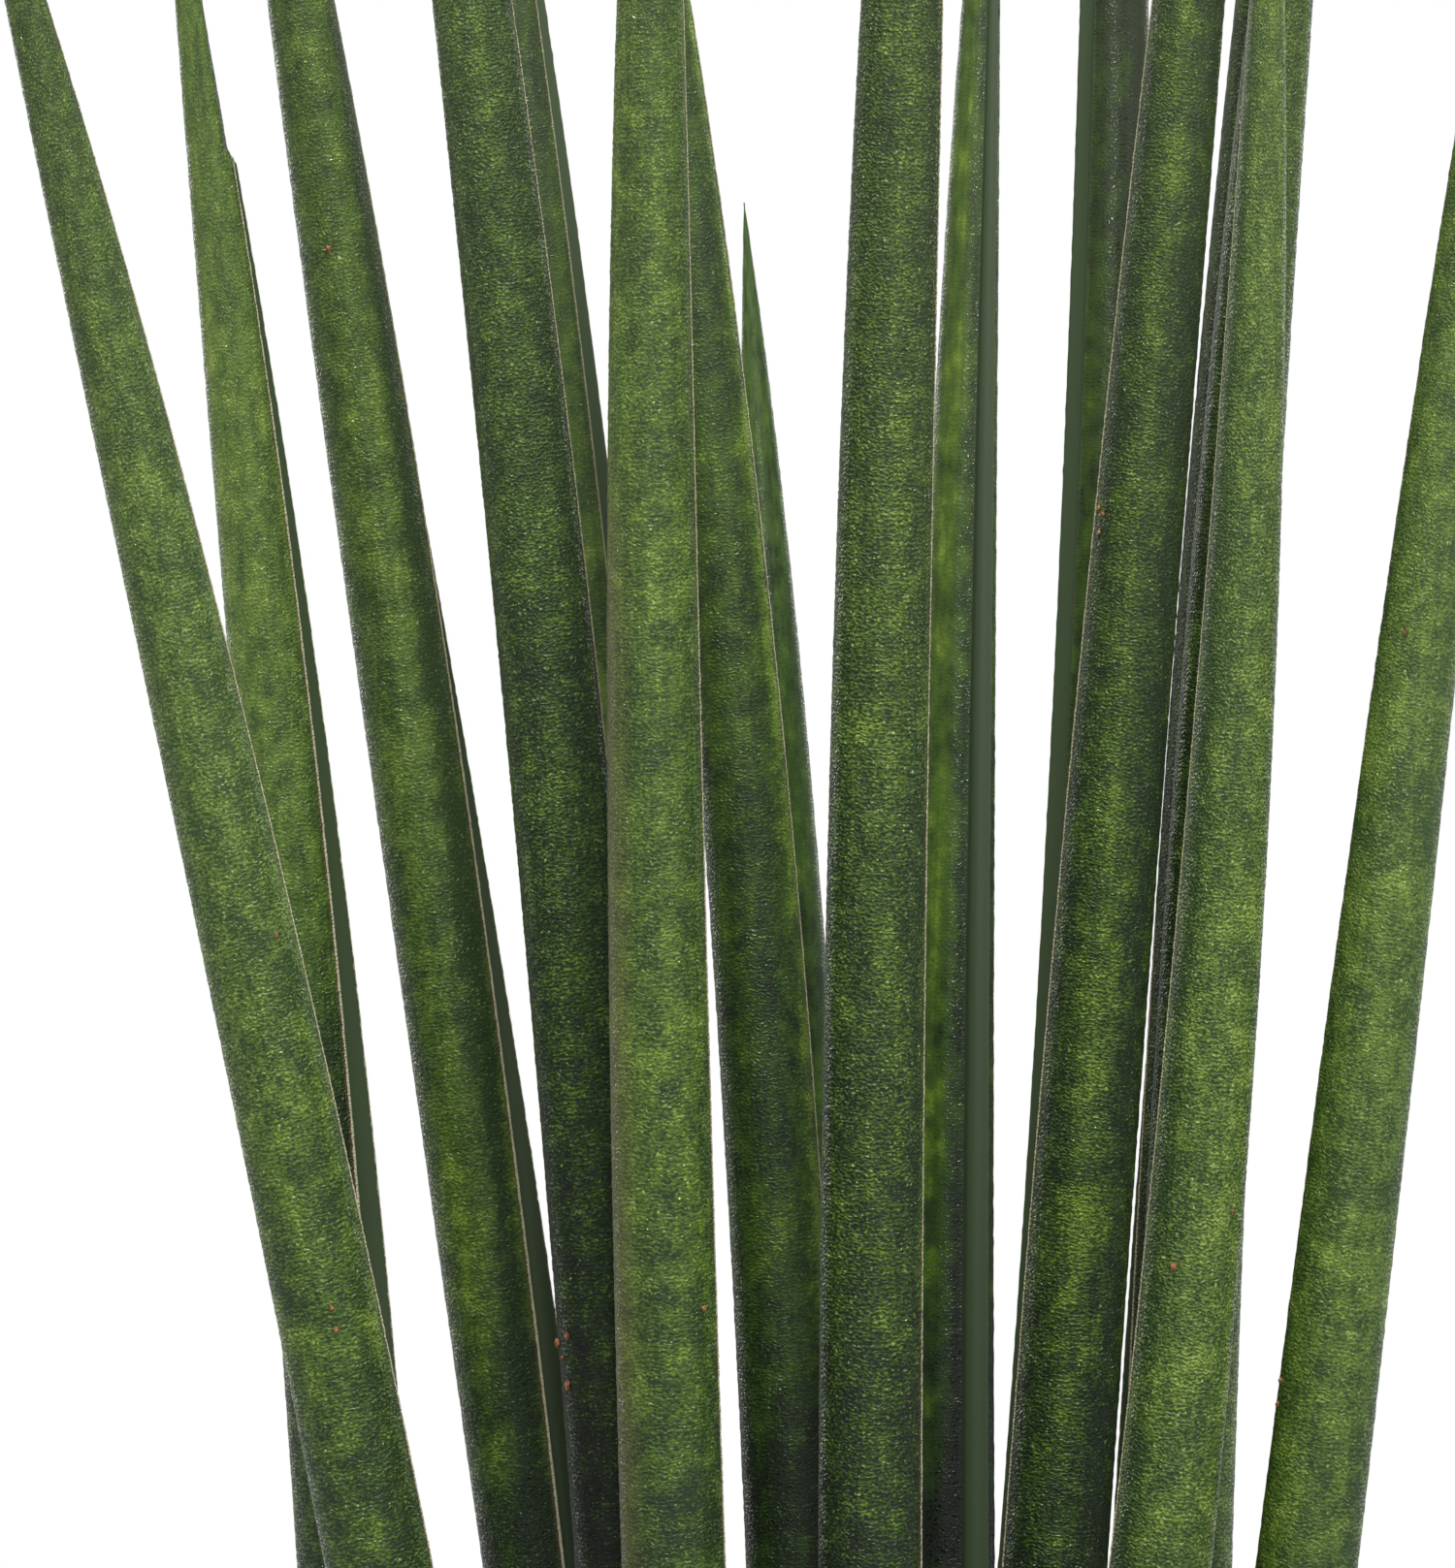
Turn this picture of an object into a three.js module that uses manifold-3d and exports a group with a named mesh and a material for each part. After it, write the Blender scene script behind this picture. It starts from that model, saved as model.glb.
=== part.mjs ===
// A potted mikado snake plant: stiff, nearly round leaves like spears, which stand close together in a
// plain clay pot of soil. Each leaf tapers to a hard point and has one narrow groove along its length.
// Units are millimetres, +Z is up and the front of the plant faces -Y. The origin is the centre of the
// pot's flat base.
import * as THREE from "three";
import { mergeVertices } from "three/addons/utils/BufferGeometryUtils.js";
import Module from "manifold-3d";

const wasm = await Module();
wasm.setup();

// The pot: a tapered wall under a thicker rim band
const POT_HEIGHT = 122;
const POT_BASE_RADIUS = 46;
const POT_WALL_TOP_RADIUS = 61;
const POT_WALL = 5;
const POT_FLOOR = 7;
const RIM_RADIUS = 66;
const RIM_HEIGHT = 24;
const RIM_EDGE = 1.5;
const DRAIN_HOLE_RADIUS = 5;
const DRAIN_HOLE_CIRCLE = 24;
const DRAIN_HOLES = 3;
const POT_SIDES = 64;

// The soil, which fills the pot to a little below its rim
const SOIL_LEVEL = 108;
const SOIL_MOUND = 3;
const SOIL_WAVE = 0.7;
const SOIL_RINGS = 7;
const SEAT_GAP = 0.3;

// What all the leaves share. Angles are measured round the leaf from the middle of its groove.
const ROOT_DEPTH = 24;
const TIP_RADIUS = 0.4;
const GROOVE_HALF_ANGLE = 21;
const GROOVE_DEPTH = 0.3;
const GROOVE_SIDE_DEPTH = 0.2;
const MARGIN_HEIGHT = 0.03;
const GROOVE_FADE = 30;
const BACK_FACETS = 11;
const RINGS = 12;
const RING_CROWDING = 1.5;
const HOLE_SIDES = 14;

// The sixteen tall leaves, from left to right as the front shows them.
// foot: where the leaf's axis leaves the soil. tip: where the leaf ends.
// bow: how far, along X, the middle of the leaf stands off a straight line from foot to tip.
// girth: the diameter of the full-grown part. taper: how slowly the tip reaches that diameter.
// groove: the way the groove faces at the foot and at the tip, in degrees from the front towards +X.
const TALL_LEAVES = [
  { foot: [-46, -3], tip: [-74, -11, 430], bow: 4.5, girth: 14.7, taper: 95, groove: [30, 94] },
  { foot: [-27, -29], tip: [-93, -48, 430], bow: 4.5, girth: 11.9, taper: 65, groove: [105, 105] },
  { foot: [-15.5, 3], tip: [-70, 1, 474], bow: 1.5, girth: 12.8, taper: 80, groove: [11, 135] },
  { foot: [-15, -15], tip: [-54, -27, 511], bow: 6, girth: 12.1, taper: 87, groove: [98, 106] },
  { foot: [-11, 20], tip: [-44, 42, 475], bow: 4, girth: 12.2, taper: 85, groove: [60, 70] },
  { foot: [-11, -32], tip: [-18.5, -52, 469], bow: -3.5, girth: 11.6, taper: 73, groove: [98, 106] },
  { foot: [-1.5, -7], tip: [-25.5, -5, 459], bow: 7, girth: 11.2, taper: 69, groove: [98, 100] },
  { foot: [4.5, 39], tip: [-9, 67, 388], bow: 1, girth: 12.2, taper: 68, groove: [150, 150] },
  { foot: [6, -32], tip: [13, -45, 508], bow: -4.5, girth: 11.4, taper: 73, groove: [98, 102] },
  { foot: [15.5, 9], tip: [20.5, 27, 455], bow: -3.5, girth: 12.2, taper: 105, groove: [35, 40] },
  { foot: [14.5, 25], tip: [33.5, 48, 509], bow: 7.5, girth: 12.4, taper: 95, groove: [-75, -52] },
  { foot: [18, -6], tip: [52, -9, 513], bow: -3.5, girth: 12.6, taper: 105, groove: [-97, -101] },
  { foot: [33.5, 17], tip: [56.5, 19, 481], bow: -2.5, girth: 12.8, taper: 105, groove: [-50, -140] },
  { foot: [19, -21.5], tip: [47.5, -40, 437], bow: 6.5, girth: 12.7, taper: 100, groove: [-100, -104] },
  { foot: [38.5, 1], tip: [60, -5, 489], bow: -6.5, girth: 12.4, taper: 100, groove: [-130, -150] },
  { foot: [38, -19], tip: [78, -30, 446], bow: -0.5, girth: 12.2, taper: 90, groove: [-115, -150] },
];

// The young leaves, still short, at the edges of the clump
const YOUNG_LEAVES = [
  { foot: [-36, 21], tip: [-47, 30, 205], bow: 1.5, girth: 9.6, taper: 34, groove: [80, 90] },
  { foot: [-43, -25], tip: [-52, -33, 164], bow: 1, girth: 8.6, taper: 26, groove: [60, 70] },
  { foot: [-2, -47], tip: [1, -55, 186], bow: -1, girth: 9.2, taper: 30, groove: [175, 190] },
  { foot: [26, 38], tip: [34, 50, 212], bow: -1, girth: 9.8, taper: 36, groove: [-20, -10] },
  { foot: [-14, 43], tip: [-19, 54, 178], bow: 0.5, girth: 8.8, taper: 30, groove: [20, 20] },
];

const clay = new THREE.MeshStandardMaterial({ color: 0xb5694a, roughness: 0.85, metalness: 0 });
const earth = new THREE.MeshStandardMaterial({ color: 0x2f2119, roughness: 0.95, metalness: 0 });
const tallGreen = new THREE.MeshStandardMaterial({ color: 0x3f5f2c, roughness: 0.45, metalness: 0 });
const youngGreen = new THREE.MeshStandardMaterial({ color: 0x55803a, roughness: 0.45, metalness: 0 });

const radians = THREE.MathUtils.degToRad;

// A mesh turned into a solid that can be cut
function solidOf(mesh) {
  mesh.updateMatrixWorld(true);
  const bare = mesh.geometry.clone().applyMatrix4(mesh.matrixWorld);
  bare.deleteAttribute("normal");
  bare.deleteAttribute("uv");
  const merged = mergeVertices(bare, 1e-4);
  return new wasm.Manifold(
    new wasm.Mesh({
      numProp: 3,
      vertProperties: merged.attributes.position.array,
      triVerts: new Uint32Array(merged.index.array),
    }),
  );
}

// A solid turned back into the geometry of a mesh
function geometryOf(solid) {
  const { vertProperties, triVerts } = solid.getMesh();
  const geometry = new THREE.BufferGeometry();
  geometry.setAttribute("position", new THREE.BufferAttribute(vertProperties, 3));
  geometry.setIndex(new THREE.BufferAttribute(triVerts, 1));
  geometry.computeVertexNormals();
  return geometry;
}

function cutFrom(body, cutters) {
  const cut = cutters.reduce((rest, cutter) => rest.subtract(solidOf(cutter)), solidOf(body));
  return geometryOf(cut);
}

// A profile of [radius, height] pairs spun round the Z axis
function turned(profile) {
  const points = profile.map(([radius, height]) => new THREE.Vector2(radius, height));
  return new THREE.LatheGeometry(points, POT_SIDES).rotateX(Math.PI / 2);
}

// Outer radius of the tapered wall at a height above the base
function wallRadius(height) {
  const share = height / (POT_HEIGHT - RIM_HEIGHT);
  return THREE.MathUtils.lerp(POT_BASE_RADIUS, POT_WALL_TOP_RADIUS, share);
}

function boreRadius(height) {
  return wallRadius(height) - POT_WALL;
}

function drainHole(index) {
  const hole = new THREE.Mesh(
    new THREE.CylinderGeometry(DRAIN_HOLE_RADIUS, DRAIN_HOLE_RADIUS, 4 * POT_FLOOR, 16),
  );
  const angle = (2 * Math.PI * index) / DRAIN_HOLES;
  hole.rotation.x = Math.PI / 2;
  hole.position.set(DRAIN_HOLE_CIRCLE * Math.cos(angle), DRAIN_HOLE_CIRCLE * Math.sin(angle), 0);
  return hole;
}

function makePot() {
  const rimFoot = POT_HEIGHT - RIM_HEIGHT;
  const body = turned([
    [0, 0],
    [POT_BASE_RADIUS - RIM_EDGE, 0],
    [wallRadius(RIM_EDGE), RIM_EDGE],
    [wallRadius(rimFoot), rimFoot],
    [RIM_RADIUS - RIM_EDGE, rimFoot],
    [RIM_RADIUS, rimFoot + RIM_EDGE],
    [RIM_RADIUS, POT_HEIGHT - RIM_EDGE],
    [RIM_RADIUS - RIM_EDGE, POT_HEIGHT],
    [boreRadius(POT_HEIGHT) + RIM_EDGE, POT_HEIGHT],
    [boreRadius(POT_HEIGHT), POT_HEIGHT - RIM_EDGE],
    [boreRadius(POT_FLOOR), POT_FLOOR],
    [0, POT_FLOOR],
  ]);
  const holes = Array.from({ length: DRAIN_HOLES }, (_, index) => drainHole(index));
  return new THREE.Mesh(cutFrom(new THREE.Mesh(body), holes), clay);
}

// The axis of a leaf above the soil
function leafAxis({ foot, tip, bow }) {
  const start = new THREE.Vector3(foot[0], foot[1], SOIL_LEVEL);
  const end = new THREE.Vector3(...tip);
  const middle = start.clone().lerp(end, 0.5).add(new THREE.Vector3(2 * bow, 0, 0));
  return new THREE.QuadraticBezierCurve3(start, middle, end);
}

function radiusFromTip(leaf, distance) {
  const grown = 1 - Math.exp(-distance / leaf.taper);
  return Math.max(TIP_RADIUS, (leaf.girth / 2) * grown);
}

// The outline of a leaf as [angle, radius] pairs for a radius of 1: a round back, two low margins and
// the groove between them, which fades out towards the tip
function leafOutline(grooveShare) {
  const half = radians(GROOVE_HALF_ANGLE);
  const groove = [
    [-half, 1 + MARGIN_HEIGHT * grooveShare],
    [-half / 2, 1 - GROOVE_SIDE_DEPTH * grooveShare],
    [0, 1 - GROOVE_DEPTH * grooveShare],
    [half / 2, 1 - GROOVE_SIDE_DEPTH * grooveShare],
    [half, 1 + MARGIN_HEIGHT * grooveShare],
  ];
  const step = (2 * Math.PI - 2 * half) / BACK_FACETS;
  const back = Array.from({ length: BACK_FACETS - 1 }, (_, i) => [half + (i + 1) * step, 1]);
  return [...groove, ...back];
}

// One ring of points round the leaf's axis
function leafRing(center, along, grooveAngle, radius, grooveShare) {
  const facing = new THREE.Vector3(Math.sin(grooveAngle), -Math.cos(grooveAngle), 0);
  const toGroove = facing.addScaledVector(along, -facing.dot(along)).normalize();
  const toSide = along.clone().cross(toGroove);
  return leafOutline(grooveShare).map(([angle, reach]) =>
    center
      .clone()
      .addScaledVector(toGroove, radius * reach * Math.cos(angle))
      .addScaledVector(toSide, radius * reach * Math.sin(angle)),
  );
}

// Rings from the tip down to the soil, crowded towards the tip, and one more at the root
function leafRings(leaf) {
  const axis = leafAxis(leaf);
  const length = axis.getLength();
  const [grooveAtFoot, grooveAtTip] = leaf.groove.map(radians);
  const rings = [];
  for (let i = 0; i < RINGS; i++) {
    const share = Math.pow(i / (RINGS - 1), RING_CROWDING);
    const distance = share * length;
    const t = 1 - share;
    const angle = THREE.MathUtils.lerp(grooveAtFoot, grooveAtTip, t);
    const grooveShare = Math.min(1, distance / GROOVE_FADE);
    const radius = radiusFromTip(leaf, distance);
    rings.push(leafRing(axis.getPoint(t), axis.getTangent(t), angle, radius, grooveShare));
  }
  const along = axis.getTangent(0);
  const root = axis.getPoint(0).addScaledVector(along, -ROOT_DEPTH);
  rings.push(leafRing(root, along, grooveAtFoot, radiusFromTip(leaf, length), 1));
  return rings;
}

function makeLeaf(leaf, material) {
  const rings = leafRings(leaf);
  const sides = rings[0].length;
  const last = (rings.length - 1) * sides;
  const points = rings.flat();
  const faces = [];
  for (let ring = 0; ring + 1 < rings.length; ring++) {
    for (let i = 0; i < sides; i++) {
      const next = (i + 1) % sides;
      const [a, b] = [ring * sides + i, ring * sides + next];
      const [c, d] = [a + sides, b + sides];
      faces.push(a, c, b, b, c, d);
    }
  }
  const capCenter = (ring) => ring.reduce((sum, p) => sum.add(p), new THREE.Vector3()).divideScalar(sides);
  points.push(capCenter(rings[0]), capCenter(rings[rings.length - 1]));
  for (let i = 0; i < sides; i++) {
    const next = (i + 1) % sides;
    faces.push(points.length - 2, i, next);
    faces.push(points.length - 1, last + next, last + i);
  }
  const geometry = new THREE.BufferGeometry().setFromPoints(points).setIndex(faces);
  geometry.computeVertexNormals();
  return new THREE.Mesh(geometry, material);
}

// The plain straight hole in the soil that a leaf stands in, open at the top
function leafHole(leaf) {
  const axis = leafAxis(leaf);
  const along = axis.getTangent(0);
  const reach = radiusFromTip(leaf, axis.getLength()) * (1 + MARGIN_HEIGHT) + SEAT_GAP;
  const radius = reach / Math.cos(Math.PI / HOLE_SIDES);
  const bottom = -ROOT_DEPTH - SEAT_GAP;
  const top = ROOT_DEPTH;
  const hole = new THREE.Mesh(new THREE.CylinderGeometry(radius, radius, top - bottom, HOLE_SIDES));
  hole.quaternion.setFromUnitVectors(new THREE.Vector3(0, 1, 0), along);
  hole.position.copy(axis.getPoint(0)).addScaledVector(along, (top + bottom) / 2);
  return hole;
}

// The soil's top: a low mound that dips and rises a little
function soilHeight(x, y) {
  const share = Math.hypot(x, y) / boreRadius(SOIL_LEVEL);
  const mound = SOIL_MOUND * (1 - share * share);
  const wave = Math.sin(x / 6.5 + 1) * Math.cos(y / 7.5) + 0.5 * Math.sin((x + y) / 4);
  return SOIL_LEVEL + mound + SOIL_WAVE * wave * Math.min(1, 4 * (1 - share));
}

function makeSoil(leaves) {
  const edge = boreRadius(SOIL_LEVEL) - SEAT_GAP;
  const floor = POT_FLOOR + SEAT_GAP;
  const profile = [
    [0, floor],
    [boreRadius(floor) - SEAT_GAP, floor],
    [edge, SOIL_LEVEL],
  ];
  for (let ring = 1; ring <= SOIL_RINGS; ring++) {
    profile.push([edge * (1 - ring / SOIL_RINGS), SOIL_LEVEL + SOIL_MOUND]);
  }
  const body = turned(profile);
  const points = body.attributes.position;
  for (let i = 0; i < points.count; i++) {
    const [x, y, z] = [points.getX(i), points.getY(i), points.getZ(i)];
    if (z > SOIL_LEVEL) points.setZ(i, soilHeight(x, y));
  }
  return new THREE.Mesh(cutFrom(new THREE.Mesh(body), leaves.map(leafHole)), earth);
}

const plant = new THREE.Group();
function add(name, mesh) {
  mesh.name = name;
  plant.add(mesh);
}

add("pot", makePot());
add("soil", makeSoil([...TALL_LEAVES, ...YOUNG_LEAVES]));
TALL_LEAVES.forEach((leaf, i) => {
  add("leaf_" + String(i + 1).padStart(2, "0"), makeLeaf(leaf, tallGreen));
});
YOUNG_LEAVES.forEach((leaf, i) => {
  add("young_leaf_" + (i + 1), makeLeaf(leaf, youngGreen));
});

export default plant;
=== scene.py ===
import math

import bmesh
import bpy
import numpy as np
from mathutils import Matrix, Vector


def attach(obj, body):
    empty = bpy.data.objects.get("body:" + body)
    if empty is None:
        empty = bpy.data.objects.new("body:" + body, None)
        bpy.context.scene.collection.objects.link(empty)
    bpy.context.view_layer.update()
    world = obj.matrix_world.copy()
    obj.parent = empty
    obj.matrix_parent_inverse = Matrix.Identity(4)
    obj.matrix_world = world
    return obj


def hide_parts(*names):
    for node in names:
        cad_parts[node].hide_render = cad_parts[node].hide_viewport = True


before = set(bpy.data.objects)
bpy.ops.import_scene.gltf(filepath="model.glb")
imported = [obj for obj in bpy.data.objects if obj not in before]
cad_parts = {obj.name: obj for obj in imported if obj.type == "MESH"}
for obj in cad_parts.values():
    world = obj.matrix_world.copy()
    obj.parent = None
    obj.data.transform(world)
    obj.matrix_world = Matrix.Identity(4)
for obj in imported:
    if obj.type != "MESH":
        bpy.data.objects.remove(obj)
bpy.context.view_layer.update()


# The pot is red clay, thrown on a wheel and fired once: a tapered wall under a thicker rim band. Its edges
# are wiped round, faint turning lines run round it, lime has bloomed on the wall and three drain holes go
# through the base.
MM = 0.001
POT_HEIGHT = 122 * MM
POT_BASE_RADIUS = 46 * MM
POT_WALL_TOP_RADIUS = 61 * MM
POT_WALL = 5 * MM
POT_FLOOR = 7 * MM
RIM_RADIUS = 66 * MM
RIM_HEIGHT = 24 * MM
WIPED_EDGE = 2.2 * MM
SOFT_EDGE = 1.2 * MM
DRAIN_HOLE_RADIUS = 5 * MM
DRAIN_HOLE_CIRCLE = 24 * MM
DRAIN_HOLES = 3
DRAIN_HOLE_SIDES = 40
POT_SIDES = 160


def wall_radius(height):
    """The outer radius of the pot's wall at a height."""
    share = height / (POT_HEIGHT - RIM_HEIGHT)
    return POT_BASE_RADIUS + (POT_WALL_TOP_RADIUS - POT_BASE_RADIUS) * share


def bore_radius(height):
    """The radius of the pot's inside at a height."""
    return wall_radius(height) - POT_WALL


def rounded_corner(before, corner, after, radius, steps=6):
    """Points that take a corner of an outline round with an arc-like curve."""
    before, corner, after = (np.array(p, float) for p in (before, corner, after))
    enter = corner + (before - corner) * min(0.5, radius / np.linalg.norm(before - corner))
    leave = corner + (after - corner) * min(0.5, radius / np.linalg.norm(after - corner))
    t = np.linspace(0, 1, steps)[:, None]
    return list((1 - t) ** 2 * enter + 2 * t * (1 - t) * corner + t**2 * leave)


def straight_run(start, end, spacing):
    """Points between two others, for even faces along a long flat stretch."""
    start, end = np.array(start, float), np.array(end, float)
    count = max(1, round(float(np.linalg.norm(end - start)) / spacing))
    return [start + (end - start) * i / count for i in range(1, count)]


def new_piece(name, points, faces, smooth=True):
    """A mesh object of the plant, riding on its one body."""
    mesh = bpy.data.meshes.new(name)
    mesh.from_pydata(np.asarray(points, float).tolist(), [], faces)
    mesh.polygons.foreach_set("use_smooth", [smooth] * len(mesh.polygons))
    mesh.update()
    piece = bpy.data.objects.new(name, mesh)
    bpy.context.scene.collection.objects.link(piece)
    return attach(piece, "root")


def spun(name, profile, sides):
    """A profile of [radius, height] points that starts and ends on the axis, spun round the Z axis."""
    inner = profile[1:-1]
    angles = np.arange(sides) * 2 * math.pi / sides
    rings = [[(r * math.cos(a), r * math.sin(a), h) for a in angles] for r, h in inner]
    points = [p for ring in rings for p in ring]
    points += [(0, 0, profile[0][1]), (0, 0, profile[-1][1])]
    faces = []
    for i in range(len(inner) - 1):
        for j in range(sides):
            k = (j + 1) % sides
            faces.append((i * sides + j, i * sides + k, (i + 1) * sides + k, (i + 1) * sides + j))
    last = (len(inner) - 1) * sides
    for j in range(sides):
        k = (j + 1) % sides
        faces.append((len(points) - 2, k, j))
        faces.append((len(points) - 1, last + j, last + k))
    return new_piece(name, points, faces)


def feed(tree, node, inputs):
    """Sets or links the inputs of a shader node."""
    for socket, value in inputs.items():
        if isinstance(value, bpy.types.NodeSocket):
            tree.links.new(value, node.inputs[socket])
        else:
            node.inputs[socket].default_value = value


def wire(tree, kind, inputs=None, output=0, **settings):
    """Adds a shader node, sets or links its inputs and gives one of its outputs."""
    made = tree.nodes.new(kind)
    for key, value in settings.items():
        setattr(made, key, value)
    feed(tree, made, inputs or {})
    return made.outputs[output]


def new_group(name, inputs, outputs):
    """A shader node group with sockets of a name and a kind, the values it is given and its result node."""
    group = bpy.data.node_groups.new(name, "ShaderNodeTree")
    for label, kind in inputs.items():
        group.interface.new_socket(label, in_out="INPUT", socket_type=f"NodeSocket{kind}")
    for label, kind in outputs.items():
        group.interface.new_socket(label, in_out="OUTPUT", socket_type=f"NodeSocket{kind}")
    return group, group.nodes.new("NodeGroupInput").outputs, group.nodes.new("NodeGroupOutput")


def use_group(tree, group, inputs):
    """Places a shader node group and gives its outputs."""
    made = tree.nodes.new("ShaderNodeGroup")
    made.node_tree = group
    feed(tree, made, inputs)
    return made.outputs


def new_material(name):
    """A material with a plain Principled BSDF, its node tree and that shader."""
    material = bpy.data.materials.new(name)
    material.use_nodes = True
    return material, material.node_tree, material.node_tree.nodes["Principled BSDF"]


def from_srgb(red, green, blue):
    """A colour as seen on a screen, 0 to 255, as the shader's own values."""
    shares = [c / 255 for c in (red, green, blue)]
    return (*[s / 12.92 if s <= 0.04045 else ((s + 0.055) / 1.055) ** 2.4 for s in shares], 1)


def part(tree, vector, index):
    """One of the three numbers of a vector."""
    return wire(tree, "ShaderNodeSeparateXYZ", {0: vector}, index)


def mixed(tree, share, first, second, blend="MIX"):
    """One colour laid over another by a mask."""
    return wire(tree, "ShaderNodeMix", {0: share, 6: first, 7: second}, 2, data_type="RGBA",
                blend_type=blend)


def tinted(tree, colour, share, *tint):
    """A colour with another, as seen on a screen, laid over it by a mask."""
    return mixed(tree, share, colour, from_srgb(*tint))


def ranged(tree, value, low, high, new_low=0.0, new_high=1.0):
    """A value brought smoothly from one range to another."""
    limits = {"Value": value, "From Min": low, "From Max": high, "To Min": new_low, "To Max": new_high}
    return wire(tree, "ShaderNodeMapRange", limits, interpolation_type="SMOOTHSTEP")


def sums(tree, *values):
    """Several values added up."""
    total = values[0]
    for value in values[1:]:
        total = wire(tree, "ShaderNodeMath", {0: total, 1: value}, operation="ADD")
    return total


def times(tree, first, second):
    """One value multiplied by another."""
    return wire(tree, "ShaderNodeMath", {0: first, 1: second}, operation="MULTIPLY")


def soft_noise(tree, place, size, detail=3.0, seed=0.0):
    """Cloudy noise whose clouds are about that size, one number or one for each direction."""
    sizes = size if isinstance(size, tuple) else (size, size, size)
    scaled = wire(tree, "ShaderNodeVectorMath", {0: place, 1: tuple(1 / s for s in sizes)},
                  operation="MULTIPLY")
    moved = wire(tree, "ShaderNodeVectorMath", {0: scaled, 1: (seed, seed * 1.7, seed * 0.3)},
                 operation="ADD")
    return wire(tree, "ShaderNodeTexNoise", {"Vector": moved, "Scale": 1.0, "Detail": detail})


# Small round specks of one size, at a share of the places where one could be
specks, given, result = new_group(
    "specks",
    {"Place": "Vector", "Per metre": "Float", "Share": "Float", "Size": "Float"},
    {"Mask": "Float"},
)
cells = specks.nodes.new("ShaderNodeTexVoronoi")
feed(specks, cells, {"Vector": given["Place"], "Scale": given["Per metre"]})
chance = wire(specks, "ShaderNodeSeparateColor", {0: cells.outputs["Color"]})
chosen = wire(specks, "ShaderNodeMath", {0: chance, 1: given["Share"]}, operation="LESS_THAN")
near = wire(specks, "ShaderNodeMath", {0: cells.outputs["Distance"], 1: given["Size"]},
            operation="DIVIDE")
feed(specks, result, {"Mask": times(specks, chosen, ranged(specks, near, 1.0, 0.55))})


def make_pot():
    """The pot's wall, rim band and base as one spun piece, still without its drain holes."""
    rim_foot = POT_HEIGHT - RIM_HEIGHT
    # radius, height and how far each corner is rounded
    corners = [
        (0, 0, 0),
        (POT_BASE_RADIUS, 0, WIPED_EDGE),
        (wall_radius(rim_foot), rim_foot, SOFT_EDGE),
        (RIM_RADIUS - 0.4 * MM, rim_foot, SOFT_EDGE),
        (RIM_RADIUS, rim_foot + RIM_HEIGHT / 2, 4 * WIPED_EDGE),
        (RIM_RADIUS - 0.4 * MM, POT_HEIGHT, WIPED_EDGE),
        (bore_radius(POT_HEIGHT), POT_HEIGHT, WIPED_EDGE),
        (bore_radius(POT_FLOOR), POT_FLOOR, WIPED_EDGE),
        (0, POT_FLOOR, 0),
    ]
    profile = [corners[0][:2]]
    for before, corner, after in zip(corners, corners[1:], corners[2:]):
        bend = rounded_corner(before[:2], corner[:2], after[:2], corner[2])
        profile += straight_run(profile[-1], bend[0], 4 * MM) + bend
    profile += straight_run(profile[-1], corners[-1][:2], 8 * MM) + [np.array(corners[-1][:2], float)]
    return spun("pot_clay", profile, POT_SIDES)


def cut_drain_holes(pot):
    """Drills the drain holes through the pot's base."""
    sides = DRAIN_HOLE_SIDES
    turns = [2 * math.pi * i / sides for i in range(sides)]
    for index in range(DRAIN_HOLES):
        angle = 2 * math.pi * index / DRAIN_HOLES
        x, y = DRAIN_HOLE_CIRCLE * math.cos(angle), DRAIN_HOLE_CIRCLE * math.sin(angle)
        ring = [(x + DRAIN_HOLE_RADIUS * math.cos(a), y + DRAIN_HOLE_RADIUS * math.sin(a)) for a in turns]
        points = [(*spot, height) for height in (-POT_FLOOR, 2 * POT_FLOOR) for spot in ring]
        faces = [(i, (i + 1) % sides, sides + (i + 1) % sides, sides + i) for i in range(sides)]
        faces += [tuple(reversed(range(sides))), tuple(range(sides, 2 * sides))]
        mesh = bpy.data.meshes.new("drain_hole")
        mesh.from_pydata(points, [], faces)
        drill = bpy.data.objects.new("drain_hole", mesh)
        bpy.context.scene.collection.objects.link(drill)
        cut = pot.modifiers.new("drain_hole", "BOOLEAN")
        cut.object = drill
        cut.operation = "DIFFERENCE"
        cut.solver = "EXACT"
        bpy.context.view_layer.update()
        holed = bpy.data.meshes.new_from_object(pot.evaluated_get(bpy.context.evaluated_depsgraph_get()))
        pot.modifiers.clear()
        pot.data = holed
        bpy.data.objects.remove(drill)


clay, tree, shader = new_material("red_clay")
place = wire(tree, "ShaderNodeTexCoord", output=3)
fired = soft_noise(tree, place, 45 * MM, 4)
cloud = soft_noise(tree, place, 9 * MM, 5, 3.0)
dust = soft_noise(tree, place, 1.1 * MM, 3, 7.0)
height = part(tree, place, 2)
dark_dots = use_group(tree, specks, {"Place": place, "Per metre": 420, "Share": 0.16, "Size": 0.34})["Mask"]
pale_dots = use_group(tree, specks, {"Place": place, "Per metre": 700, "Share": 0.22, "Size": 0.4})["Mask"]
colour = mixed(tree, ranged(tree, fired, 0.35, 0.65), from_srgb(168, 92, 62), from_srgb(192, 116, 82))
colour = tinted(tree, colour, times(tree, ranged(tree, dust, 0.35, 0.75), 0.35), 148, 78, 52)
colour = tinted(tree, colour, times(tree, dark_dots, 0.55), 110, 58, 40)
colour = tinted(tree, colour, times(tree, pale_dots, 0.35), 222, 172, 142)
salt = soft_noise(tree, place, 2.4 * MM, 5, 11.0)
lime = sums(tree, times(tree, cloud, 0.5), times(tree, salt, 0.5), times(tree, fired, 0.6),
            ranged(tree, height, 50 * MM, 0.0, 0.0, 0.14))
colour = tinted(tree, colour, times(tree, ranged(tree, lime, 0.78, 1.1), 0.42), 220, 184, 160)
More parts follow.
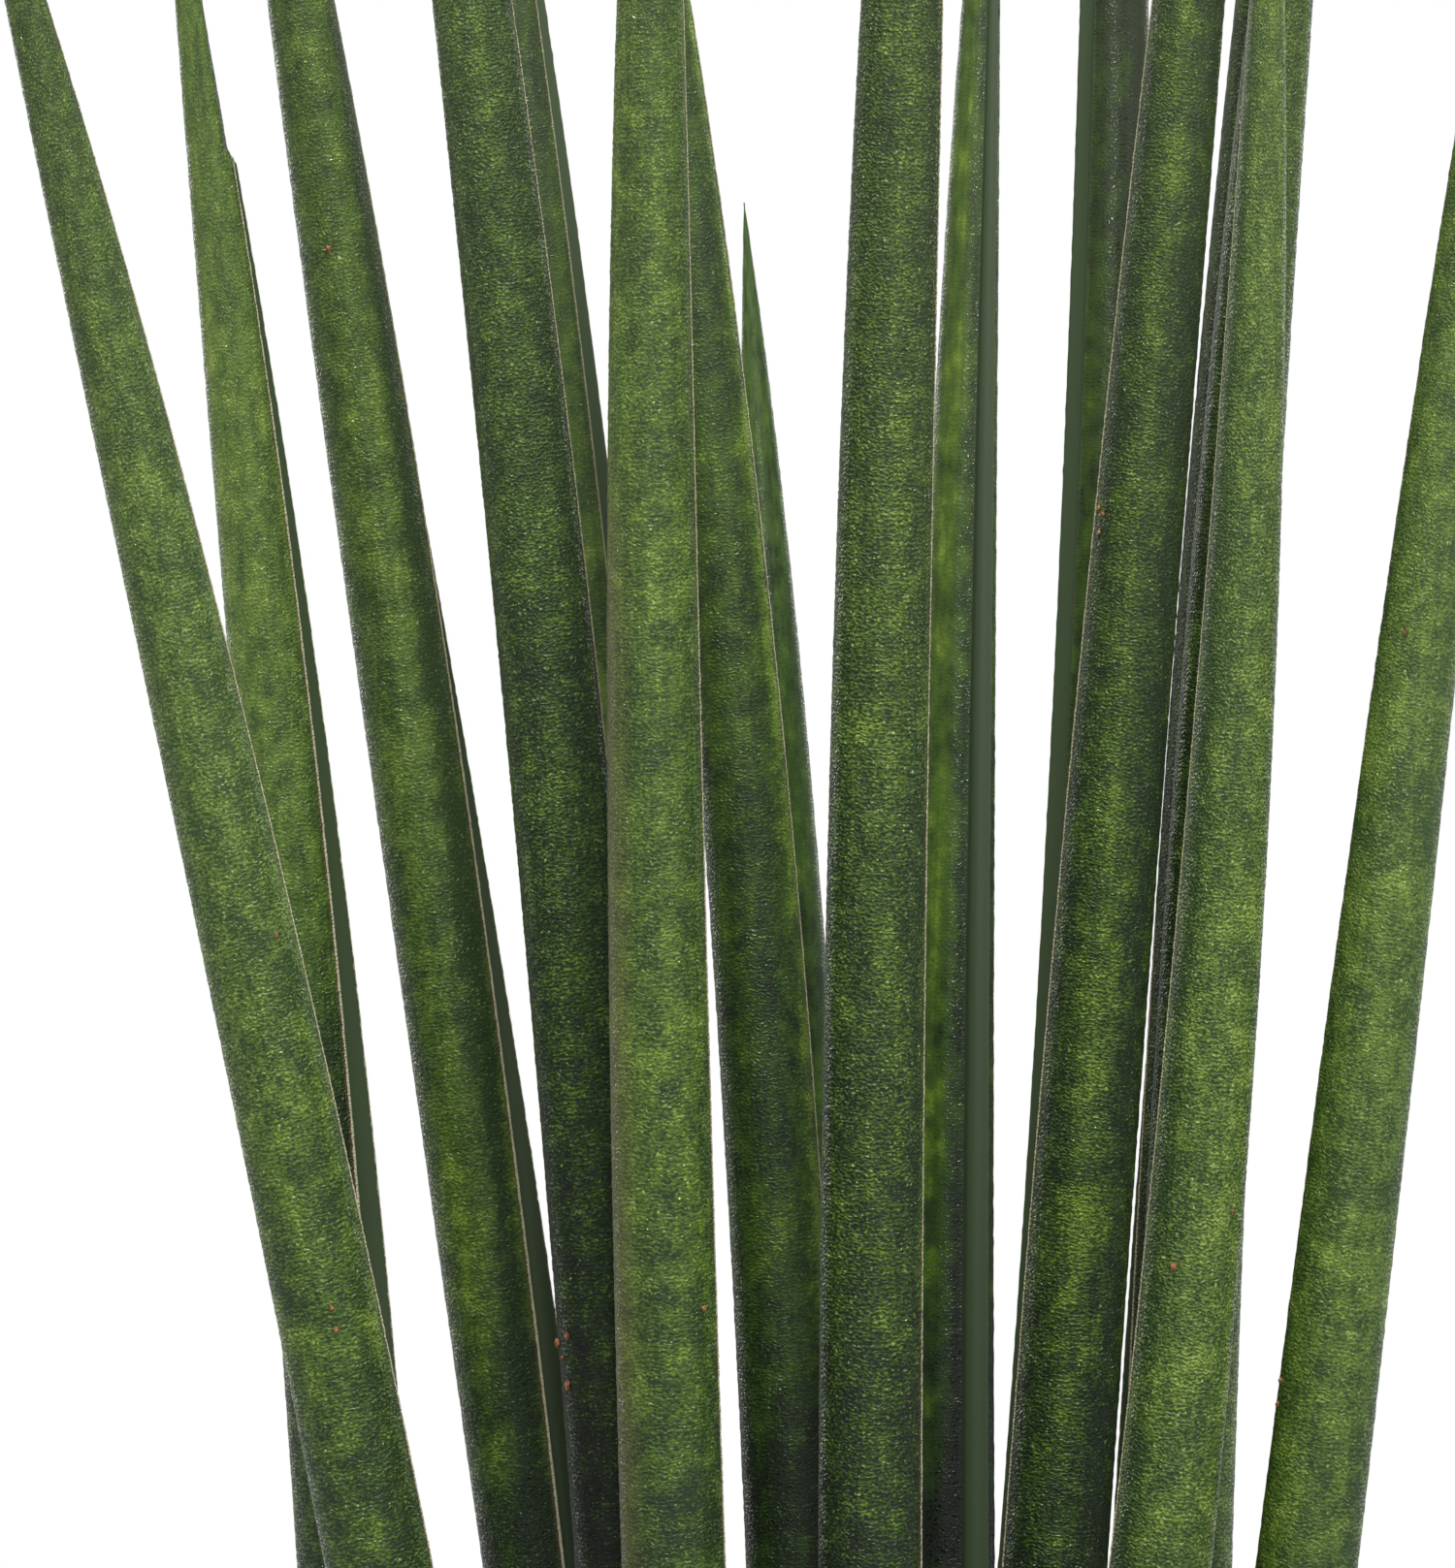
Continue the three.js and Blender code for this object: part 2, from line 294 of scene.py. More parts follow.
# the wall darkens towards its top, just below the rim band
darker_below_rim = sums(tree, ranged(tree, height, 70 * MM, 97 * MM, 0.0, 0.5), times(tree, fired, 0.5))
colour = tinted(tree, colour, times(tree, ranged(tree, darker_below_rim, 0.45, 0.85), 0.3), 128, 66, 44)
rough = ranged(tree, cloud, 0.3, 0.7, 0.78, 0.95)
lines = soft_noise(tree, place, (60 * MM, 60 * MM, 0.9 * MM), 3, 2.0)
relief = sums(tree, times(tree, lines, 0.6), times(tree, dust, 0.5), times(tree, dark_dots, -0.6))
bump = wire(tree, "ShaderNodeBump", {"Height": relief, "Distance": 0.25 * MM, "Strength": 0.8})
feed(tree, shader, {"Base Color": colour, "Roughness": rough, "Normal": bump})

pot = make_pot()
cut_drain_holes(pot)
pot.data.materials.append(clay)
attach(pot, "root")
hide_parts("pot")


# The soil is dark peat with grit, pressed into the pot to a low mound about 14 mm below the rim. It closes
# round the foot of every leaf, and its surface is rough with crumbs and fibres.
SOIL_LEVEL = 108 * MM
SOIL_MOUND = 3 * MM
SOIL_WAVE = 0.7 * MM
SOIL_GRAIN = 0.55 * MM
SEAT_GAP = 0.3 * MM
SOIL_RINGS = 64
SOIL_SIDES = 190


def soil_height(x, y):
    """The height of the soil's smooth mound above the pot's base."""
    share = np.hypot(x, y) / bore_radius(SOIL_LEVEL)
    a, b = x / MM, y / MM
    wave = np.sin(a / 6.5 + 1) * np.cos(b / 7.5) + 0.5 * np.sin((a + b) / 4)
    return SOIL_LEVEL + SOIL_MOUND * (1 - share**2) + SOIL_WAVE * wave * np.minimum(1, 4 * (1 - share))


def make_soil():
    """The soil as one closed piece, with a rough top that evens out towards the middle."""
    draw = np.random.default_rng(21)
    edge = bore_radius(SOIL_LEVEL) - SEAT_GAP
    floor = POT_FLOOR + SEAT_GAP
    angles = np.arange(SOIL_SIDES) * 2 * math.pi / SOIL_SIDES
    points = [(0, 0, float(soil_height(0, 0)))]
    for ring in range(1, SOIL_RINGS + 1):
        radius = edge * ring / SOIL_RINGS
        x, y = radius * np.cos(angles), radius * np.sin(angles)
        grain = draw.normal(size=SOIL_SIDES)
        if ring < SOIL_RINGS / 3:
            grain = (grain + np.roll(grain, 1) + np.roll(grain, -1)) / 3 * ring / SOIL_RINGS * 5
        z = soil_height(x, y) + SOIL_GRAIN * np.clip(grain, -1.5, 1.5) * (ring < SOIL_RINGS)
        points += list(zip(x.tolist(), y.tolist(), z.tolist()))
    low = bore_radius(floor) - SEAT_GAP
    points += [(low * math.cos(a), low * math.sin(a), floor) for a in angles]
    points.append((0, 0, floor))
    faces = []
    for ring in range(SOIL_RINGS + 1):
        for j in range(SOIL_SIDES):
            k = (j + 1) % SOIL_SIDES
            if ring == 0:
                faces.append((0, 1 + j, 1 + k))
            else:
                a, b = 1 + (ring - 1) * SOIL_SIDES, 1 + ring * SOIL_SIDES
                faces.append((a + j, b + j, b + k, a + k))
    last = 1 + SOIL_RINGS * SOIL_SIDES
    faces += [(last + (j + 1) % SOIL_SIDES, last + j, len(points) - 1) for j in range(SOIL_SIDES)]
    return new_piece("soil_bed", points, faces)


peat, tree, shader = new_material("dark_peat")
place = wire(tree, "ShaderNodeTexCoord", output=3)
clods = soft_noise(tree, place, 7 * MM, 5)
crumb = soft_noise(tree, place, 1.6 * MM, 5, 4.0)
grit = use_group(tree, specks, {"Place": place, "Per metre": 520, "Share": 0.09, "Size": 0.42})["Mask"]
fibre = use_group(tree, specks, {"Place": place, "Per metre": 300, "Share": 0.18, "Size": 0.4})["Mask"]
colour = mixed(tree, ranged(tree, clods, 0.38, 0.66), from_srgb(38, 28, 21), from_srgb(68, 50, 37))
colour = tinted(tree, colour, ranged(tree, crumb, 0.5, 0.8, 0, 0.7), 24, 18, 14)
colour = tinted(tree, colour, times(tree, fibre, 0.6), 104, 74, 50)
colour = tinted(tree, colour, times(tree, grit, 0.8), 150, 140, 126)
rough = ranged(tree, crumb, 0.3, 0.7, 0.8, 1.0)
relief = sums(tree, crumb, times(tree, clods, 0.5), times(tree, fibre, 0.3))
bump = wire(tree, "ShaderNodeBump", {"Height": relief, "Distance": 1.2 * MM})
feed(tree, shader, {"Base Color": colour, "Roughness": rough, "Normal": bump})

soil = make_soil()
soil.data.materials.append(peat)
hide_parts("soil")


# The leaves are stiff, nearly round spears, each grown in one piece. A narrow groove with two thin raised
# margins runs down each from just below its hard brown point. The skin is dark green in cross bands and
# flecks over a yellower green, and crinkled in fine rows across the leaf.
ROOT_DEPTH = 24 * MM
TIP_RADIUS = 0.4 * MM
TIP_POINT = 4 * MM
GROOVE_HALF_ANGLE = 21.0
GROOVE_DEPTH = 0.3
GROOVE_POWER = 2.2
MARGIN_HEIGHT = 0.03
MARGIN_WIDTH = 3.0
GROOVE_FADE = 30 * MM
GROOVE_BLUNT = 1.5 * MM
FLAT_EXTRA_ANGLE = 30.0
CRINKLE_HEIGHT = 0.022 * MM
CRINKLE_FADE = 12 * MM
CRINKLE_FADE_ANGLE = 4
MARGIN_WAVER = 0.02 * MM
MARGIN_WAVER_WIDTH = 2
MARKS_FADE = 25
PLAIN_CRISP = 0.7
PHOTO_LOW = 222 * MM
PHOTO_HIGH = 412 * MM
SHADE_HEIGHTS = (140, 232, 316, 400)
NOISE_APART = 700
BAKE_STRIPS = 4
BAKE_GAP = 0.012

# The form of each leaf, in millimetres and as its solid has it. foot: where its axis leaves the soil. tip:
# where it ends. bow: how far, along X, its middle stands off a straight line. girth: its full-grown
# diameter. taper: how slowly the tip reaches it. groove: the way the groove faces at the foot and at the
# tip, in degrees from the front towards +X. groove_from: how far below the tip a groove starts bluntly.
#
# Its looks, as the photo shows them. fine: how closely its rings of points stand, 1 for the closest. crisp:
# how sharp its ridges are, and how strong their painted glints and the painted shade between them are.
# shade: how much darker its green is low down, in the middle and high up, partly its own darker green and
# partly painted shade low in the clump. bands: height, half height and strength of lighter (above 0) and
# darker cross bands. streaks: the same round the leaf, in degrees from its groove, partly its own marks and
# partly painted light and shade on its sides. weathered: streaks of brownish grey skin, up to a height.
# cool: how bluish its green is. green_tip: millimetres of its hard point that are green. marks_from: how far
# below the tip its groove is first marked by colour.
TALL_LEAVES = [
    dict(foot=(-46, -3), tip=(-74, -11, 430), bow=4.5, girth=14.7, taper=95, groove=(30, 94), fine=2,
         crisp=0.6, shade=(0.9, -0.15, -0.15), groove_from=42,
         bands=[(235, 13, 0.35), (278, 11, -0.25), (300, 5, 0.1), (338, 6, 0.1), (362, 9, 0.1)],
         streaks=[(-130, 20, 0.15), (-15, 15, -0.25)]),
    dict(foot=(-27, -29), tip=(-93, -48, 430), bow=4.5, girth=11.9, taper=65, groove=(105, 105), fine=1,
         crisp=0.9, shade=(0.1, -0.2, -0.05),
         bands=[(235, 5, -0.1), (254, 4, 0.15), (261, 3, -0.1), (279, 4, 0.15), (305, 5, -0.1)],
         streaks=[(-70, 15, -0.1)]),
    dict(foot=(-15.5, 3), tip=(-70, 1, 474), bow=1.5, girth=12.8, taper=80, groove=(11, 135), fine=2,
         crisp=0.65, shade=(0.25, -0.15, 0.05),
         bands=[(230, 5, -0.45), (260, 12, 0.1), (296, 5, -0.1), (325, 4, -0.1), (344, 4, -0.1)],
         streaks=[(-90, 25, 0.1), (-45, 15, -0.4)]),
    dict(foot=(-15, -15), tip=(-54, -27, 511), bow=6, girth=12.1, taper=87, groove=(98, 106), fine=1,
         crisp=1.3, shade=(0.85, 0.15, 0.0), cool=0.2,
         bands=[(238, 5, -0.1), (282, 9, 0.1), (344, 4, 0.1)],
         streaks=[(-100, 15, 0.1), (-45, 30, -0.1)]),
    dict(foot=(-11, 20), tip=(-44, 42, 475), bow=4, girth=12.2, taper=85, groove=(60, 70), fine=3,
         crisp=0.35, shade=(0.0, -0.2, 0.3),
         bands=[(335, 4, -0.15), (343, 4, 0.2), (370, 5, 0.15)],
         streaks=[(-25, 15, -0.1), (0, 15, 0.15)]),
    dict(foot=(-11, -32), tip=(-18.5, -52, 469), bow=-3.5, girth=11.6, taper=73, groove=(98, 106), fine=1,
         crisp=0.8, shade=(0.1, -0.05, 0.0), weathered=[(-172, 28, 356, 0.6)],
         bands=[(240, 12, -0.1), (257, 4, 0.15), (278, 6, 0.1), (292, 4, 0.15), (312, 3, -0.1),
                (382, 5, 0.1)],
         streaks=[(-175, 25, 0.2)]),
    dict(foot=(-1.5, -7), tip=(-25.5, -5, 459), bow=7, girth=11.2, taper=69, groove=(98, 100), fine=2,
         crisp=0.5, shade=(0.4, 0.25, 0.1),
         bands=[(240, 9, -0.2), (268, 11, 0.2), (324, 4, 0.1), (356, 5, 0.2), (374, 6, -0.1)],
         streaks=[(-70, 15, -0.1), (-35, 15, 0.4)]),
    dict(foot=(4.5, 39), tip=(-9, 67, 388), bow=1, girth=12.2, taper=68, groove=(150, 150), fine=3,
         crisp=0.1, shade=(-0.2, 0.3, -0.1), cool=0.3, green_tip=20,
         bands=[(296, 4, -0.2), (316, 9, 0.15)]),
    dict(foot=(6, -32), tip=(13, -45, 508), bow=-4.5, girth=11.4, taper=73, groove=(98, 102), fine=1,
         crisp=1.6, shade=(0.4, 0.0, 0.05),
         bands=[(238, 4, -0.1), (252, 3, -0.1), (265, 7, 0.15), (295, 4, 0.1), (306, 7, -0.1),
                (325, 4, 0.15)],
         streaks=[(-90, 15, 0.1), (-45, 20, -0.1)]),
    dict(foot=(15.5, 9), tip=(20.5, 27, 455), bow=-3.5, girth=12.2, taper=105, groove=(35, 40), fine=3,
         crisp=0.15, shade=(0.85, 0.05, 0.1),
         bands=[(233, 5, -0.4), (272, 12, 0.2), (318, 9, -0.1), (370, 4, -0.1)],
         streaks=[(-85, 30, 0.1), (-65, 20, 0.1), (-20, 15, -0.3), (0, 15, -0.1)]),
    dict(foot=(14.5, 25), tip=(33.5, 48, 509), bow=7.5, girth=12.4, taper=95, groove=(-75, -52), fine=3,
         crisp=0.15, shade=(0.0, 0.15, 0.5),
         bands=[(330, 5, -0.1), (348, 7, 0.1), (382, 4, -0.1)],
         streaks=[(105, 35, -0.35)]),
    dict(foot=(18, -6), tip=(52, -9, 513), bow=-3.5, girth=12.6, taper=105, groove=(-97, -101), fine=2,
         crisp=0.9, shade=(0.3, 0.15, 0.15),
         bands=[(236, 9, -0.1), (268, 5, 0.2), (287, 5, 0.1), (320, 5, -0.15), (357, 4, -0.15),
                (368, 4, -0.15)],
         streaks=[(45, 15, -0.15), (95, 20, 0.2), (145, 20, -0.25)]),
    dict(foot=(33.5, 17), tip=(56.5, 19, 481), bow=-2.5, girth=12.8, taper=105, groove=(-50, -140), fine=2,
         crisp=1.0, shade=(0.3, 0.3, 0.3), marks_from=175),
    dict(foot=(19, -21.5), tip=(47.5, -40, 437), bow=6.5, girth=12.7, taper=100, groove=(-100, -104), fine=1,
         crisp=1.2, shade=(-0.1, -0.15, -0.25),
         bands=[(252, 4, 0.2), (266, 3, 0.1), (289, 4, 0.15), (296, 3, -0.1), (302, 4, 0.15),
                (344, 9, -0.1)],
         streaks=[(50, 18, -0.35), (155, 40, 0.1)]),
    dict(foot=(38.5, 1), tip=(60, -5, 489), bow=-6.5, girth=12.4, taper=100, groove=(-130, -150), fine=2,
         crisp=0.9, shade=(-0.05, 0.1, -0.05),
         bands=[(266, 5, 0.15), (300, 5, -0.15)],
         streaks=[(90, 30, -0.15)]),
    dict(foot=(38, -19), tip=(78, -30, 446), bow=-0.5, girth=12.2, taper=90, groove=(-115, -150), fine=2,
         crisp=0.75, shade=(-0.05, -0.2, -0.05),
         bands=[(262, 5, 0.15), (271, 3, -0.1), (304, 3, 0.1), (314, 4, -0.2), (322, 4, 0.15),
                (333, 5, -0.1)],
         streaks=[(-180, 20, -0.1)]),
]

# How far apart the rings of points stand inside the photo and outside it, in millimetres, and the columns,
# in degrees, for each grade of fineness. From the groove to over its margin the columns are listed.
RING_SPACING = {1: 0.4, 2: 0.6, 3: 0.9}
PLAIN_SPACING = {1: 2.0, 2: 2.2, 3: 2.6}
COLUMN_SPACING = {1: 6.5, 2: 9.0, 3: 11.0}
GROOVE_COLUMNS = [0, 6, 12, 16.5, 19, 20.4, 21.4, 22.6, 25, 29]
CLOSEST_RINGS = 0.25 * MM


def leaf_line(leaf, t):
    """Points on the leaf's axis and its direction there, for shares t of the way from foot to tip."""
    start = np.array([*leaf["foot"], SOIL_LEVEL / MM]) * MM
    end = np.array(leaf["tip"]) * MM
    middle = (start + end) / 2 + np.array([2 * leaf["bow"] * MM, 0, 0])
    t = np.asarray(t, float)[..., None]
    line = (1 - t) ** 2 * start + 2 * t * (1 - t) * middle + t**2 * end
    along = 2 * (1 - t) * (middle - start) + 2 * t * (end - middle)
    return line, along / np.linalg.norm(along, axis=-1, keepdims=True)


def leaf_length(leaf):
    """The length of the leaf's axis above the soil."""
    line, _ = leaf_line(leaf, np.linspace(0, 1, 200))
    return float(np.linalg.norm(np.diff(line, axis=0), axis=1).sum())


def groove_share(leaf, down):
    """How much of its full depth the groove has. It starts at the tip, or bluntly a way below it."""
    if "groove_from" in leaf:
        return np.clip((down - leaf["groove_from"] * MM) / GROOVE_BLUNT, 0, 1)
    return np.clip(down / GROOVE_FADE, 0, 1)


def leaf_skin(leaf, down, angle):
    """Points on a leaf's skin and the way out of it, for distances below the tip and angles in degrees from
    the middle of its groove. Both are arrays that fit each other."""
    length = leaf_length(leaf)
    t = np.clip(1 - down / length, 0, 1)
    line, along = leaf_line(leaf, t)
    line = line - along * np.maximum(down - length, 0)[..., None]
    facing = np.radians(leaf["groove"][0] + (leaf["groove"][1] - leaf["groove"][0]) * t)
    to_groove = np.stack([np.sin(facing), -np.cos(facing), np.zeros_like(facing)], -1)
    to_groove -= along * np.sum(to_groove * along, -1, keepdims=True)
    to_groove /= np.linalg.norm(to_groove, axis=-1, keepdims=True)
    to_side = np.cross(along, to_groove)
    grown = 1 - np.exp(-np.minimum(down, length) / (leaf["taper"] * MM))
    least = TIP_RADIUS * np.clip(down / TIP_POINT, 0.2, 1)
    radius = np.maximum(least, leaf["girth"] * MM / 2 * grown)
    off = np.abs(angle)
    share = groove_share(leaf, down)
    deep = np.clip(down / GROOVE_FADE, 0, 1)
    # above margins that start bluntly the leaf is only flattened there
    half = GROOVE_HALF_ANGLE + FLAT_EXTRA_ANGLE * np.maximum(deep - share, 0)
    inside = GROOVE_DEPTH * (1 - np.minimum(off / half, 1) ** GROOVE_POWER)
    lip = MARGIN_HEIGHT * np.exp(-(((off - GROOVE_HALF_ANGLE) / MARGIN_WIDTH) ** 2))
    reach = radius * (1 + share * lip - deep * inside)
    turn = np.radians(angle)
    out = to_groove * np.cos(turn)[..., None] + to_side * np.sin(turn)[..., None]
    return line + out * reach[..., None], out


def ring_places(leaf):
    """Distances below the tip for a leaf's rings, close together at the tip and where the photo shows it."""
    length = leaf_length(leaf)
    tip_height = leaf["tip"][2] * MM
    per_height = length / (tip_height - SOIL_LEVEL)
    top = max(0.0, (tip_height - PHOTO_HIGH) * per_height)
    bottom = (tip_height - PHOTO_LOW) * per_height
    end = length + ROOT_DEPTH
    places = [0.0]
    while places[-1] < end:
        here = places[-1]
        in_photo = top <= here < bottom
        step = (RING_SPACING if in_photo else PLAIN_SPACING)[leaf["fine"]] * MM
        places.append(here + min(step, max(CLOSEST_RINGS, here / 3)))
    places[-1] = end
    return np.array(places)


def column_places(leaf):
    """Angles round the leaf, close together in the groove and at its margins."""
    last = GROOVE_COLUMNS[-1]
    count = round((180 - last) / COLUMN_SPACING[leaf["fine"]])
    half = GROOVE_COLUMNS + [last + (180 - last) * i / count for i in range(1, count + 1)]
    return np.array([-a for a in reversed(half[1:-1])] + half)


def leaf_tone(leaf, down, angle):
    """How much yellower or darker the skin is in the bands and lengthwise streaks that the leaf is given.
    The streaks are partly its own marks and partly painted light and shade on its sides.
    """
    tone = np.zeros(np.broadcast(down, angle).shape)
    turn = np.radians(angle)
    height = leaf["tip"][2] - down / MM + 1.6 * np.sin(2 * turn + leaf["girth"]) + np.sin(5 * turn)
    for middle, half, strength in leaf.get("bands", ()):
        tone += strength * np.exp(-(((height - middle) / half) ** 2))
    # the streaks are partly the leaf's own marks and partly painted light and shade on its sides
    for middle, half, strength in leaf.get("streaks", ()):
        off = (angle - middle + 180) % 360 - 180
        tone += strength * np.exp(-((off / half) ** 2))
    return tone


def leaf_wear(leaf, down, angle):
    """How much of the skin has weathered to a brownish grey, in the lengthwise strips that the leaf has."""
    wear = np.zeros(np.broadcast(down, angle).shape)
    height = leaf["tip"][2] - down / MM
    for middle, half, top, strength in leaf.get("weathered", ()):
        off = (angle - middle + 180) % 360 - 180
        wear += strength * np.exp(-((off / half) ** 2)) * np.clip((top - height) / 20, 0, 1)
    return wear


def store(mesh, name, values):
    """Values of three numbers for each point of a mesh, which its material reads by name."""
    layer = mesh.attributes.new(name, "FLOAT_VECTOR", "POINT")
    layer.data.foreach_set("vector", np.ascontiguousarray(values, dtype=np.float32).ravel())


def make_leaf(name, leaf, number):
    """One leaf as a closed skin, with what its material reads at each point and a map to bake its skin onto.
    """
    draw = np.random.default_rng(100 + number)
    places, angles = ring_places(leaf), column_places(leaf)
    rings, columns = len(places), len(angles)
    down, angle = np.meshgrid(places, angles, indexing="ij")
    points, out = leaf_skin(leaf, down, angle)

    # the larger crinkles of the skin and the waver of the margins
    rough = draw.normal(size=(rings, columns))
    rough = rough + np.roll(rough, 1, 1) + np.roll(rough, -1, 1)
    rough = np.clip(rough / rough.std(), -2, 2)
    off = np.abs(angle)
    past_margin = off - GROOVE_HALF_ANGLE
    skin = np.clip(past_margin / CRINKLE_FADE_ANGLE, 0, 1) * np.clip(down / CRINKLE_FADE, 0, 1)
    edge = np.exp(-((past_margin / MARGIN_WAVER_WIDTH) ** 2)) * groove_share(leaf, down)
    waver = draw.normal(size=rings)[:, None]
    points = points + out * (CRINKLE_HEIGHT * rough * skin + MARGIN_WAVER * waver * edge)[..., None]

    tip, _ = leaf_line(leaf, 1.0)
    low = points[-1].mean(0)
    everything = np.concatenate([points.reshape(-1, 3), [tip, low]])
    i, j = np.meshgrid(np.arange(rings - 1), np.arange(columns), indexing="ij")
    k = (j + 1) % columns
    quads = np.stack([i * columns + j, (i + 1) * columns + j, (i + 1) * columns + k, i * columns + k], -1)
    faces = quads.reshape(-1, 4).tolist()
    last = (rings - 1) * columns
    top = rings * columns
    faces += [(top, c, (c + 1) % columns) for c in range(columns)]
    faces += [(top + 1, last + (c + 1) % columns, last + c) for c in range(columns)]
    piece = new_piece(name, everything, faces)

    # what the skin's material reads, in millimetres. straight: the place on the straightened leaf, far from
    # every other leaf's so that their noise differs. edges: degrees from the groove, how much groove there
    # is, and the height above the soil. looks: bands and streaks, shade (partly painted shade), and the way
    # down from the point. touch: how crisp, cool and weathered the skin is.
    around = leaf["girth"] / 2
    turn = np.radians(angle)
    along = down / MM + NOISE_APART * number
    straight = np.stack([around * np.cos(turn), around * np.sin(turn), along], -1)
    above = (leaf_length(leaf) - down) / MM
    marked = np.clip((down / MM - leaf.get("marks_from", 0)) / MARKS_FADE, 0, 1)
    edges = np.stack([off, groove_share(leaf, down) * marked, above], -1)
    heights = (leaf["tip"][2] * MM - down) / MM
    # the leaf's shade at each height: partly its own darker green, partly painted shade low in the clump
    low, middle, high = leaf.get("shade", (0.0, 0.0, 0.0))
    shade = np.interp(heights, SHADE_HEIGHTS, (0.4 * low, low, middle, high))
    from_point = down / MM + leaf.get("green_tip", 0)
    looks = np.stack([leaf_tone(leaf, down, angle), shade, from_point], -1)
    crisp = np.full(down.shape, leaf.get("crisp", PLAIN_CRISP))
    cool = np.full(down.shape, leaf.get("cool", 0.0))
    touch = np.stack([crisp, cool, leaf_wear(leaf, down, angle)], -1)
    for label, values in (("straight", straight), ("edges", edges), ("looks", looks), ("touch", touch)):
        flat = values.reshape(-1, 3)
        store(piece.data, label, np.concatenate([flat, flat[:1], flat[-1:]]))

    # a map to bake the skin onto: the leaf's length in strips that lie side by side
    strip = places[-1] / BAKE_STRIPS
    which = np.minimum((places[:-1] + np.diff(places) / 2) // strip, BAKE_STRIPS - 1)
    across = np.linspace(0, 1, columns + 1)

    def spot(ring, column, strip_number):
        u = (places[ring] - strip_number * strip) / strip
        v = across[column]
        return np.stack([BAKE_GAP + (1 - 2 * BAKE_GAP) * u,
                         (strip_number + BAKE_GAP + (1 - 2 * BAKE_GAP) * v) / BAKE_STRIPS], -1)

    def fan(ring, first, second, third, strip_number):
        return np.stack([spot(ring, column, strip_number) for column in (first, second, third)], 1)

    own = np.broadcast_to(which[:, None], i.shape)
    quad = [spot(i, j, own), spot(i + 1, j, own), spot(i + 1, j + 1, own), spot(i, j + 1, own)]
    corners = np.stack(quad, 2)
    c = np.arange(columns)
    tip_fan = fan(0 * c, c, c, c + 1, 0 * c)
    root_fan = fan(0 * c + rings - 1, c, c + 1, c, 0 * c + BAKE_STRIPS - 1)
    spots = np.concatenate([corners.reshape(-1, 2), tip_fan.reshape(-1, 2), root_fan.reshape(-1, 2)])
    layer = piece.data.uv_layers.new(name="OFBake")
    layer.data.foreach_set("uv", spots.astype(np.float32).ravel())
    return piece


# The crinkles of the skin: short wavy ridges that run across the leaf, and small cells that tint it
RIDGE_SPACING = 0.52
CELL_WIDTH = 0.52
CELL_HEIGHT = 0.3
crinkles, given, result = new_group(
    "leaf_crinkles",
    {"Straight": "Vector"},
    dict.fromkeys(("Height", "Bead", "Chance", "Ripple", "Grain", "Painted glint"), "Float"),
)
spot = given["Straight"]
drift = soft_noise(crinkles, spot, (1.9, 1.9, 1.6), 1.0, 3.0)
shake = soft_noise(crinkles, spot, (0.62, 0.62, 0.65), 1.0, 13.0)
along = part(crinkles, spot, 2)
phase = sums(crinkles, times(crinkles, along, 2 * math.pi / RIDGE_SPACING), times(crinkles, drift, 10.0),
             times(crinkles, shake, 12.5))
wave = wire(crinkles, "ShaderNodeMath", {0: phase}, operation="SINE")
ripple = times(crinkles, ranged(crinkles, wave, -1.0, 1.0),
               ranged(crinkles, drift, 0.35, 0.6, 0.45, 1.0))
moved = wire(crinkles, "ShaderNodeCombineXYZ", {2: times(crinkles, drift, 2.0)})
moved = wire(crinkles, "ShaderNodeVectorMath", {0: spot, 1: moved}, operation="ADD")
per_cell = (1 / CELL_WIDTH, 1 / CELL_WIDTH, 1 / CELL_HEIGHT)
squeezed = wire(crinkles, "ShaderNodeVectorMath", {0: moved, 1: per_cell}, operation="MULTIPLY")
cells = crinkles.nodes.new("ShaderNodeTexVoronoi")
feed(crinkles, cells, {"Vector": squeezed, "Scale": 1.0})
bead = ranged(crinkles, cells.outputs["Distance"], 0.75, 0.2)
chance = wire(crinkles, "ShaderNodeSeparateColor", {0: cells.outputs["Color"]})
grain = soft_noise(crinkles, spot, (0.45, 0.45, 0.28), 0.0, 9.0)
raised = sums(crinkles, times(crinkles, ripple, ranged(crinkles, grain, 0.3, 0.7, 0.35, 1.5)),
              times(crinkles, grain, 0.9))
# painted glints: pale spots in some cells on the ridge tops, standing in for the lamp's glints
painted_glint = times(crinkles, ranged(crinkles, cells.outputs["Distance"], 0.42, 0.15),
              ranged(crinkles, chance, 0.35, 0.9))
painted_glint = times(crinkles, painted_glint, ranged(crinkles, ripple, 0.2, 0.8))
feed(crinkles, result, {"Height": raised, "Bead": bead, "Chance": chance, "Ripple": ripple,
                        "Grain": grain, "Painted glint": painted_glint})

# The green of the skin: cross bands, patches and lengthwise lines of dark green over a yellower one
marks, given, result = new_group(
    "leaf_marks",
    {"Straight": "Vector", "Tone": "Float", "Bead": "Float", "Chance": "Float", "Ripple": "Float",
     "Grain": "Float", "Crisp": "Float", "Dark": "Color", "Middle": "Color", "Light": "Color"},
    {"Color": "Color"},
)
MOST_CRISP_COLOUR = 0.95
spot = given["Straight"]
bands = soft_noise(marks, spot, (18, 18, 8), 2.0, 1.0)
patches = soft_noise(marks, spot, (2.8, 2.8, 2.8), 3.0, 2.0)
lines = soft_noise(marks, spot, (1.1, 1.1, 22), 2.0, 6.0)
